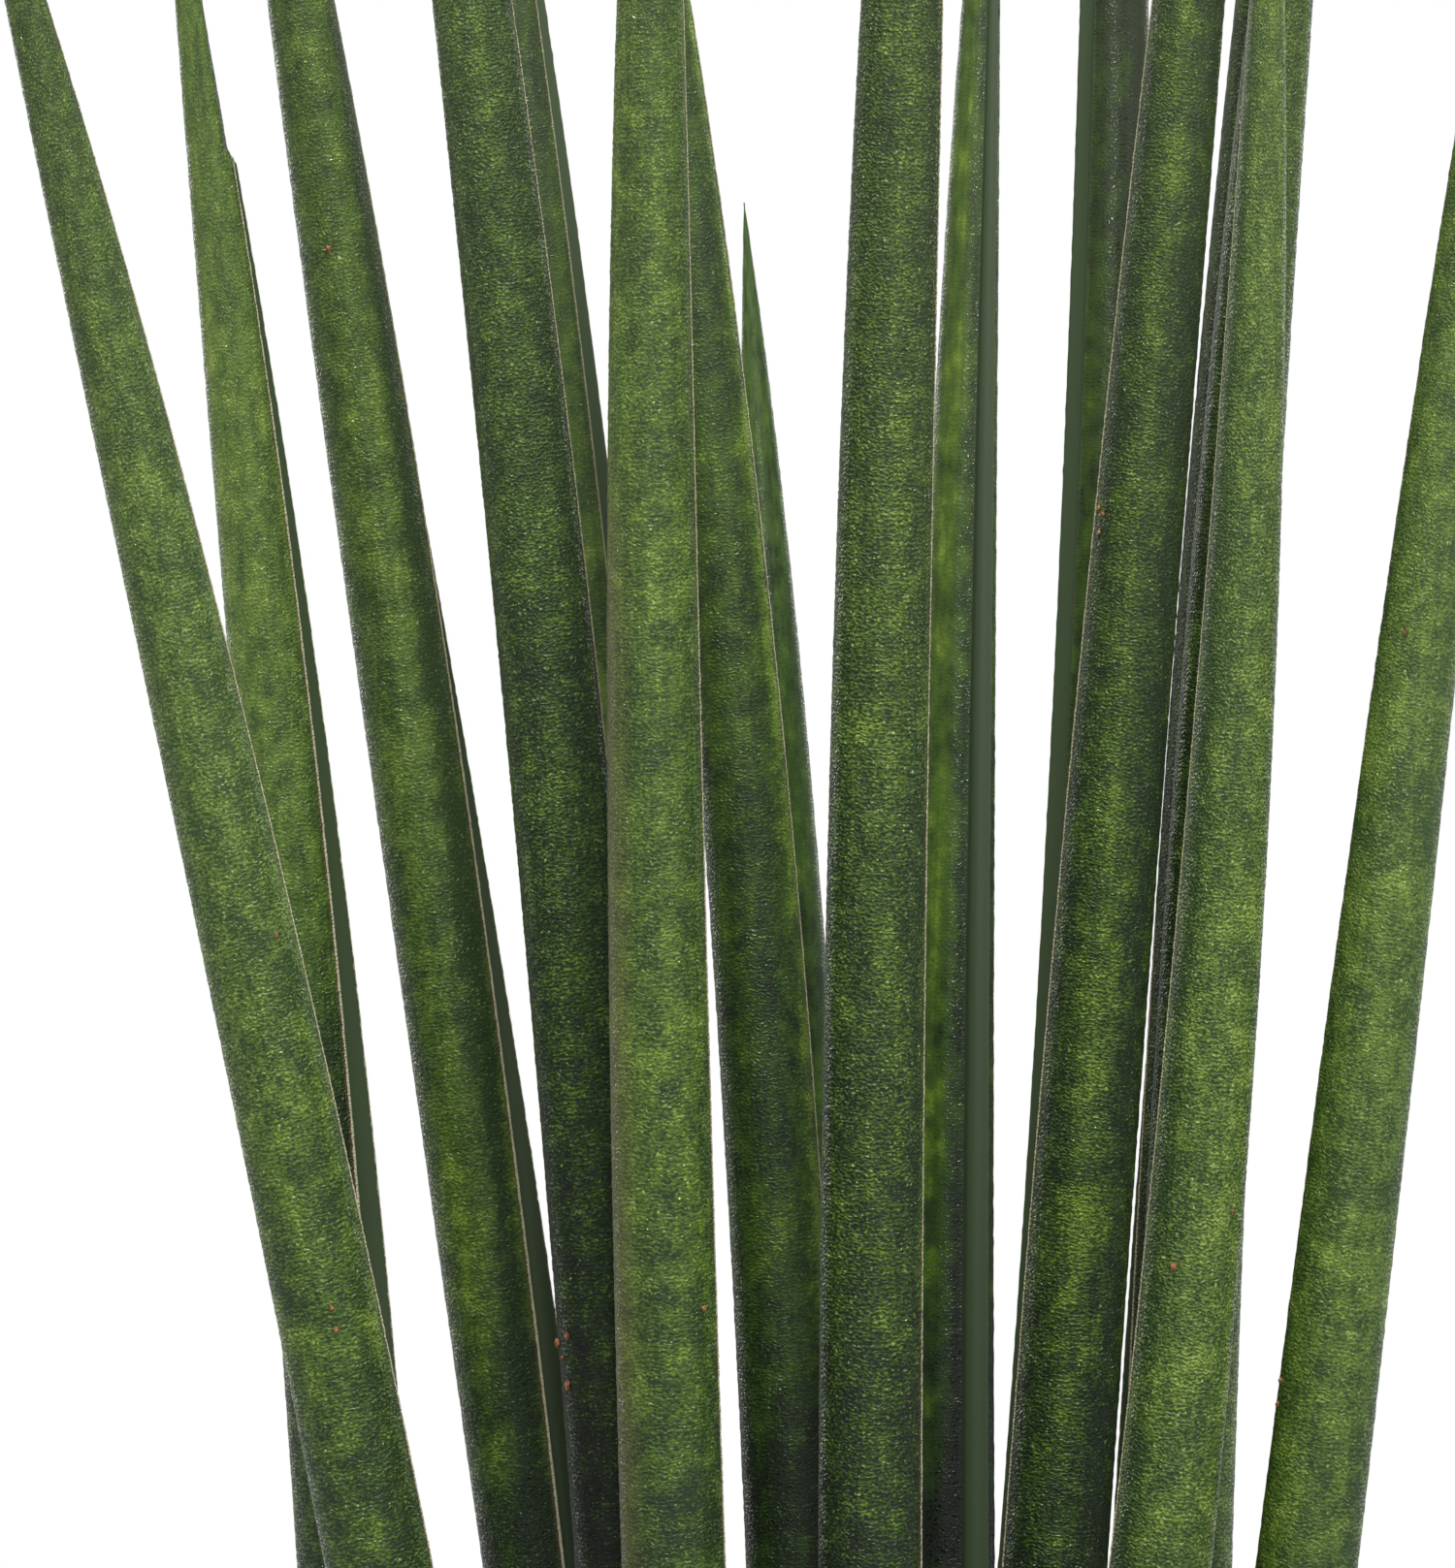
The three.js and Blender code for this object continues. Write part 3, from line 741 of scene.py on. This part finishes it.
# fine mottle, lighter on ridges and darker between them: partly own mottle, partly painted light and shade
fine = sums(marks, times(marks, given["Bead"], 0.25), times(marks, given["Chance"], 0.1),
            times(marks, given["Ripple"], 0.3), times(marks, given["Grain"], 0.65), -0.6)
clear = wire(marks, "ShaderNodeMath", {0: given["Crisp"], 1: MOST_CRISP_COLOUR}, operation="MINIMUM")
tone = sums(marks, times(marks, bands, 0.45), times(marks, patches, 1.15), times(marks, lines, 0.45),
            times(marks, fine, clear), given["Tone"])
share = ranged(marks, tone, 0.515, 1.815)
low = ranged(marks, share, 0.0, 0.55)
high = ranged(marks, share, 0.5, 1.0)
colour = mixed(marks, low, given["Dark"], given["Middle"])
feed(marks, result, {"Color": mixed(marks, high, colour, given["Light"])})

# The groove: its smooth inside, the thin pale line on each of its margins and a brownish edge outside that.
# Their limits are degrees from the middle of the groove.
rims, given, result = new_group(
    "leaf_rims",
    {"Edges": "Vector", "Straight": "Vector"},
    {"Inside": "Float", "Line": "Float", "Brown": "Float"},
)
off = part(rims, given["Edges"], 0)
groove = part(rims, given["Edges"], 1)
open_groove = ranged(rims, groove, 0.05, 0.4)
inside = ranged(rims, off, 21.4, 20.2)
waver = soft_noise(rims, given["Straight"], (2, 2, 0.5), 1.0)
off = sums(rims, off, times(rims, waver, 1.8), -0.9)
line = times(rims, ranged(rims, off, 20.3, 21.0), ranged(rims, off, 24.3, 23.3))
brown = times(rims, ranged(rims, off, 23.6, 24.6), ranged(rims, off, 28.5, 25.0))
for label, mask in (("Inside", inside), ("Line", line), ("Brown", brown)):
    feed(rims, result, {label: times(rims, mask, open_groove)})


def leaf_green(name, dark, middle, light, groove_colour):
    """The skin of one kind of leaf."""
    material, tree, shader = new_material(name)
    straight, edges, looks, touch = (wire(tree, "ShaderNodeAttribute", output=1, attribute_name=label)
                                     for label in ("straight", "edges", "looks", "touch"))
    crisp, cool, wear = (part(tree, touch, i) for i in range(3))
    tone, glow, down = (part(tree, looks, i) for i in range(3))
    above = part(tree, edges, 2)
    rim = use_group(tree, rims, {"Edges": edges, "Straight": straight})
    skin = use_group(tree, crinkles, {"Straight": straight})
    relief = {label: skin[label] for label in ("Bead", "Chance", "Ripple", "Grain")}
    mark = use_group(tree, marks, {"Straight": straight, "Tone": tone, "Crisp": crisp, **relief,
                                   "Dark": dark, "Middle": middle, "Light": light})
    # the painted glints lay a pale whitish green over the skin, more on crisper leaves
    colour = mixed(tree, times(tree, times(tree, skin["Painted glint"], crisp), 0.5), mark["Color"],
                   from_srgb(186, 204, 150))
    # painted shade: the colour darkens in the hollows between the ridges, more on crisper leaves
    painted_valley_shade = times(tree, ranged(tree, skin["Height"], 0.85, 0.3),
                   ranged(tree, crisp, 0.3, 1.5, 0.25, 0.95))
    colour = mixed(tree, painted_valley_shade, colour, (0.22, 0.36, 0.14, 1), "MULTIPLY")
    # the gamma darkens the green by its shade: partly its own green, partly painted shade low in the clump
    colour = wire(tree, "ShaderNodeGamma", {0: colour, 1: sums(tree, glow, 1.0)})
    colour = mixed(tree, cool, colour, (0.7, 0.92, 1.9, 1), "MULTIPLY")
    # painted haze: the green turns a greyer olive high up on the leaves, standing in for glare
    painted_haze_high_up = ranged(tree, above, 180.0, 300.0, 0.0, 0.14)
    colour = tinted(tree, colour, painted_haze_high_up, 104, 112, 78)
    worn = times(tree, wear, ranged(tree, skin["Grain"], 0.3, 0.7, 0.6, 1.2))
    colour = tinted(tree, colour, worn, 108, 98, 68)
    colour = mixed(tree, rim["Inside"], colour, groove_colour)
    sharp = ranged(tree, crisp, 0.1, 0.6)
    brown = times(tree, times(tree, rim["Brown"], sharp), 0.5)
    colour = tinted(tree, colour, brown, 92, 74, 44)
    line = times(tree, times(tree, rim["Line"], sharp), 0.85)
    colour = tinted(tree, colour, line, 198, 191, 160)
    foot = ranged(tree, above, 26.0, -4.0)
    colour = tinted(tree, colour, times(tree, foot, 0.75), 166, 168, 118)
    hard = ranged(tree, down, 9.0, 4.0)
    colour = tinted(tree, colour, hard, 120, 76, 46)
    pale = ranged(tree, down, 2.4, 1.0)
    colour = tinted(tree, colour, pale, 205, 190, 160)
    outside = wire(tree, "ShaderNodeMath", {0: 1.0, 1: rim["Inside"]}, operation="SUBTRACT")
    rough = times(tree, ranged(tree, skin["Height"], 0.5, 1.4, 0.6, 0.2), outside)
    rough = sums(tree, rough, times(tree, rim["Inside"], 0.5))
    height = times(tree, times(tree, skin["Height"], outside), crisp)
    bump = wire(tree, "ShaderNodeBump", {"Height": height, "Distance": 0.11 * MM})
    feed(tree, shader, {"Base Color": colour, "Roughness": rough, "Specular IOR Level": 0.42,
                        "Normal": bump})
    return material


tall_green = leaf_green("tall_leaf_green", from_srgb(34, 59, 14), from_srgb(79, 106, 30),
                        from_srgb(132, 156, 56), from_srgb(60, 76, 48))
for number, leaf in enumerate(TALL_LEAVES, 1):
    node = f"leaf_{number:02d}"
    piece = make_leaf(f"tall_{node}", leaf, number)
    piece.data.materials.append(tall_green)
    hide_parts(node)


# The young leaves have come up at the edges of the clump and are still short and slender. Their skin is a
# little brighter than that of the tall ones.
YOUNG_LEAVES = [
    dict(foot=(-36, 21), tip=(-47, 30, 205), bow=1.5, girth=9.6, taper=34, groove=(80, 90), fine=3),
    dict(foot=(-43, -25), tip=(-52, -33, 164), bow=1, girth=8.6, taper=26, groove=(60, 70), fine=3),
    dict(foot=(-2, -47), tip=(1, -55, 186), bow=-1, girth=9.2, taper=30, groove=(175, 190), fine=3),
    dict(foot=(26, 38), tip=(34, 50, 212), bow=-1, girth=9.8, taper=36, groove=(-20, -10), fine=3),
    dict(foot=(-14, 43), tip=(-19, 54, 178), bow=0.5, girth=8.8, taper=30, groove=(20, 20), fine=3),
]
young_green = leaf_green("young_leaf_green", from_srgb(38, 64, 26), from_srgb(84, 112, 42),
                         from_srgb(134, 160, 70), from_srgb(76, 94, 60))
for number, leaf in enumerate(YOUNG_LEAVES, 1):
    node = f"young_leaf_{number}"
    piece = make_leaf(f"green_{node}", leaf, 20 + number)
    piece.data.materials.append(young_green)
    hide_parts(node)


# Loose bits lie on the soil, partly sunk in it: flat chips of brown bark, white perlite, grey and tan grit,
# and dark crumbs of peat. They keep clear of the feet of the leaves and of the pot's wall.
BITS_REACH = 56
CLEAR_OF_LEAVES = 0.3
CLEAR_OF_WALL = 0.4
BIT_TILT = 0.28


def small_ball():
    """The points and faces of a ball of radius 1."""
    ball = bmesh.new()
    bmesh.ops.create_icosphere(ball, subdivisions=2, radius=1)
    points = np.array([v.co for v in ball.verts])
    faces = np.array([[v.index for v in f.verts] for f in ball.faces])
    ball.free()
    return points, faces


def make_bits(name, count, size, flat, corners, seed, sunk):
    """Many rough lumps as one mesh. Size is the range of their half widths in millimetres, flat is how high
    they are for their width, corners is how boxy they are, 1 for round and less for squarer, and sunk is
    the share of their height that is in the soil."""
    draw = np.random.default_rng(seed)
    shell, shell_faces = small_ball()
    shell = np.sign(shell) * np.abs(shell) ** corners
    feet = [(*leaf["foot"], leaf["girth"] / 2) for leaf in TALL_LEAVES + YOUNG_LEAVES]
    points, faces = [], []
    while len(points) < count:
        half = draw.uniform(*size) ** 2 / size[1]
        reach, turn = BITS_REACH * math.sqrt(draw.random()), draw.uniform(0, 2 * math.pi)
        x, y = reach * math.cos(turn), reach * math.sin(turn)
        clear = min(math.hypot(x - a, y - b) - r for a, b, r in feet)
        if clear < half + CLEAR_OF_LEAVES or reach > bore_radius(SOIL_LEVEL) / MM - half - CLEAR_OF_WALL:
            continue
        lump = shell * draw.uniform(0.82, 1.18, size=shell.shape)
        lump *= np.array([1, draw.uniform(0.55, 0.95), flat * draw.uniform(0.7, 1.2)]) * half
        spin, tilt = draw.uniform(0, 2 * math.pi), draw.normal(0, BIT_TILT)
        tipped, turned = Matrix.Rotation(-tilt, 3, "Y"), Matrix.Rotation(spin, 3, "Z")
        lump = lump @ np.array(tipped).T @ np.array(turned).T
        level = float(soil_height(x * MM, y * MM)) / MM
        lump += np.array([x, y, level + half * flat * (1 - 2 * sunk)])
        faces += (shell_faces + len(points) * len(shell)).tolist()
        points.append(lump * MM)
    return new_piece(name, np.concatenate(points), faces)


# Name, how many, size, flat, corners, seed, sunk, and the light and the dark colour
BITS = [
    ("soil_bark", 75, (1.4, 4.2), 0.3, 0.6, 31, 0.3, (92, 62, 42), (52, 34, 24)),
    ("soil_perlite", 46, (0.6, 1.7), 0.8, 0.9, 32, 0.35, (226, 222, 212), (188, 182, 170)),
    ("soil_grit", 420, (0.35, 1.1), 0.8, 0.85, 33, 0.35, (122, 108, 92), (70, 60, 52)),
    ("soil_crumbs", 700, (0.5, 1.8), 0.75, 0.9, 34, 0.35, (58, 43, 32), (30, 22, 17)),
]
for name, count, size, flat, corners, seed, sunk, light, dark in BITS:
    bits = make_bits(name, count, size, flat, corners, seed, sunk)
    material, tree, shader = new_material(name)
    place = wire(tree, "ShaderNodeTexCoord", output=3)
    kinds = soft_noise(tree, place, 3.2 * MM, 2, seed)
    rough = soft_noise(tree, place, 0.5 * MM, 4, seed + 5.0)
    share = sums(tree, times(tree, kinds, 1.2), times(tree, rough, 0.8), -0.5)
    colour = mixed(tree, ranged(tree, share, 0.3, 0.7), from_srgb(*dark), from_srgb(*light))
    bump = wire(tree, "ShaderNodeBump", {"Height": rough, "Distance": 0.3 * MM})
    feed(tree, shader, {"Base Color": colour, "Roughness": 0.9, "Normal": bump})
    bits.data.materials.append(material)


# Crumbs of dried soil, brown to tan and about a millimetre across, cling to a few of the leaves. Each is
# given by its leaf, millimetres below its tip, degrees from its groove, and half width in millimetres.
CRUMB_FORM = np.array([0.7, 0.7, 1.05])
CRUMB_STANDS_OFF = 0.3
CRUMBS = [
    (3, 97.1, -116, 0.42), (16, 112.5, 112, 0.34), (2, 131.5, -66, 0.3), (2, 174.0, -96, 0.34),
    (2, 171.6, -96, 0.3), (4, 255.2, 178, 0.5), (4, 254.3, -154, 0.42), (4, 259.7, -160, 0.5),
    (4, 256.8, -168, 0.3), (6, 207.2, -54, 0.36), (12, 166.0, 44, 0.3), (12, 165.4, 33, 0.34),
    (12, 168.2, 40, 0.34), (14, 172.0, 78, 0.48), (14, 165.7, 148, 0.3), (16, 195.1, 52, 0.32),
    (16, 197.7, 52, 0.3),
]


def make_crumbs():
    """All crumbs as one mesh, each pressed a little into the skin of its leaf."""
    draw = np.random.default_rng(51)
    shell, shell_faces = small_ball()
    points, faces = [], []
    for number, down, angle, half in CRUMBS:
        spot, out = leaf_skin(TALL_LEAVES[number - 1], np.array([down * MM]), np.array([float(angle)]))
        lump = shell * draw.uniform(0.7, 1.3, size=shell.shape) * CRUMB_FORM * half * MM
        points.append(lump + spot[0] + out[0] * CRUMB_STANDS_OFF * half * MM)
        faces += (shell_faces + (len(points) - 1) * len(shell)).tolist()
    return new_piece("leaf_crumbs", np.concatenate(points), faces)


crumbs = make_crumbs()
material, tree, shader = new_material("dried_soil")
place = wire(tree, "ShaderNodeTexCoord", output=3)
rough = soft_noise(tree, place, 0.4 * MM, 3, 4.0)
colour = mixed(tree, ranged(tree, rough, 0.35, 0.65), from_srgb(92, 58, 38), from_srgb(182, 124, 82))
feed(tree, shader, {"Base Color": colour, "Roughness": 0.85})
crumbs.data.materials.append(material)


# The floor is a pale matt sheet that fades into the white behind it. It isn't part of the plant.
FLOOR_RADIUS = 2.1
FLOOR_SIDES = 96
angles = [2 * math.pi * i / FLOOR_SIDES for i in range(FLOOR_SIDES)]
mesh = bpy.data.meshes.new("studio_floor")
mesh.from_pydata([(FLOOR_RADIUS * math.cos(a), FLOOR_RADIUS * math.sin(a), 0) for a in angles], [],
                 [tuple(range(FLOOR_SIDES))])
floor = bpy.data.objects.new("studio_floor", mesh)
bpy.context.scene.collection.objects.link(floor)
pale, tree, shader = new_material("pale_floor")
place = wire(tree, "ShaderNodeTexCoord", output=3)
reach = wire(tree, "ShaderNodeVectorMath", {0: place}, 1, operation="LENGTH")
near = ranged(tree, reach, 0.2, 1.5, 1.0, 0.0)
colour = mixed(tree, near, (0, 0, 0, 1), (0.72, 0.72, 0.71, 1))
own_light = mixed(tree, near, (1, 1, 1, 1), (0, 0, 0, 1))
feed(tree, shader, {"Base Color": colour, "Emission Color": own_light, "Emission Strength": 1.0,
                    "Roughness": 0.9, "Specular IOR Level": 0.1})
floor.data.materials.append(pale)


# The camera looks level from the front at the middle of the leaves, as the photo does. The frame is as high
# as 1617 of the photo's pixels at 9.2 of them to a millimetre, at the plane of the pot's axis.
PHOTO_HEIGHT_PX = 1617
PX_PER_MM = 9.2
CAMERA_PLACE = (-11 * MM, -905 * MM, 318 * MM)
SENSOR_WIDTH = 36
camera = bpy.data.objects.new("camera", bpy.data.cameras.new("camera"))
bpy.context.scene.collection.objects.link(camera)
camera.location = CAMERA_PLACE
camera.rotation_euler = (math.pi / 2, 0, 0)
camera.data.sensor_width = SENSOR_WIDTH
camera.data.lens = SENSOR_WIDTH * -CAMERA_PLACE[1] / (PHOTO_HEIGHT_PX / PX_PER_MM * MM)
camera.data.clip_start = 0.05
camera.data.clip_end = 50
bpy.context.scene.camera = camera


# The light is a white studio's: a bright wall behind the plant and dim surroundings in front of it. A small
# lamp stands high in front, one above the camera for the glints on the ridges, two behind the plant at its
# sides, and a larger, softer one on the right.
world = bpy.data.worlds.new("white_studio")
world.use_nodes = True
bpy.context.scene.world = world
tree = world.node_tree
tree.nodes.clear()
way = wire(tree, "ShaderNodeTexCoord", output=0)
side, back, up = (part(tree, way, i) for i in range(3))
side = wire(tree, "ShaderNodeMath", {0: side}, operation="ABSOLUTE")
glow = sums(tree, ranged(tree, back, 0.5, 0.85, 0.04, 0.9), ranged(tree, up, 0.15, 0.8, 0.0, 0.45),
            ranged(tree, side, 0.45, 0.9, 0.0, 0.42))
around = wire(tree, "ShaderNodeBackground", {"Color": (1, 1, 1, 1), "Strength": glow})
seen = wire(tree, "ShaderNodeBackground", {"Color": (1, 1, 1, 1), "Strength": 1.0})
ray = wire(tree, "ShaderNodeLightPath", output=0)
shown = wire(tree, "ShaderNodeMixShader", {0: ray, 1: around, 2: seen})
feed(tree, tree.nodes.new("ShaderNodeOutputWorld"), {"Surface": shown})
bpy.context.scene.view_settings.view_transform = "Standard"


LEAVES_MIDDLE = Vector((0, 0, 0.34))


def soft_lamp(name, place, size, watts):
    """A round lamp that shines at the middle of the leaves and isn't seen itself."""
    lamp = bpy.data.objects.new(name, bpy.data.lights.new(name, "AREA"))
    bpy.context.scene.collection.objects.link(lamp)
    lamp.data.shape = "DISK"
    lamp.data.size = size
    lamp.data.energy = watts
    lamp.location = place
    lamp.rotation_euler = (LEAVES_MIDDLE - lamp.location).to_track_quat("-Z", "Y").to_euler()
    lamp.visible_camera = False


soft_lamp("key_lamp", (0.06, -0.42, 1.15), 0.1, 6.2)
soft_lamp("glint_lamp", (0.02, -0.95, 0.66), 0.08, 2.4)
soft_lamp("left_rim_lamp", (-0.5, 0.85, 0.5), 0.3, 1.0)
soft_lamp("right_rim_lamp", (0.5, 0.85, 0.5), 0.3, 0.5)
soft_lamp("side_lamp", (0.8, -0.55, 0.75), 0.5, 1.5)
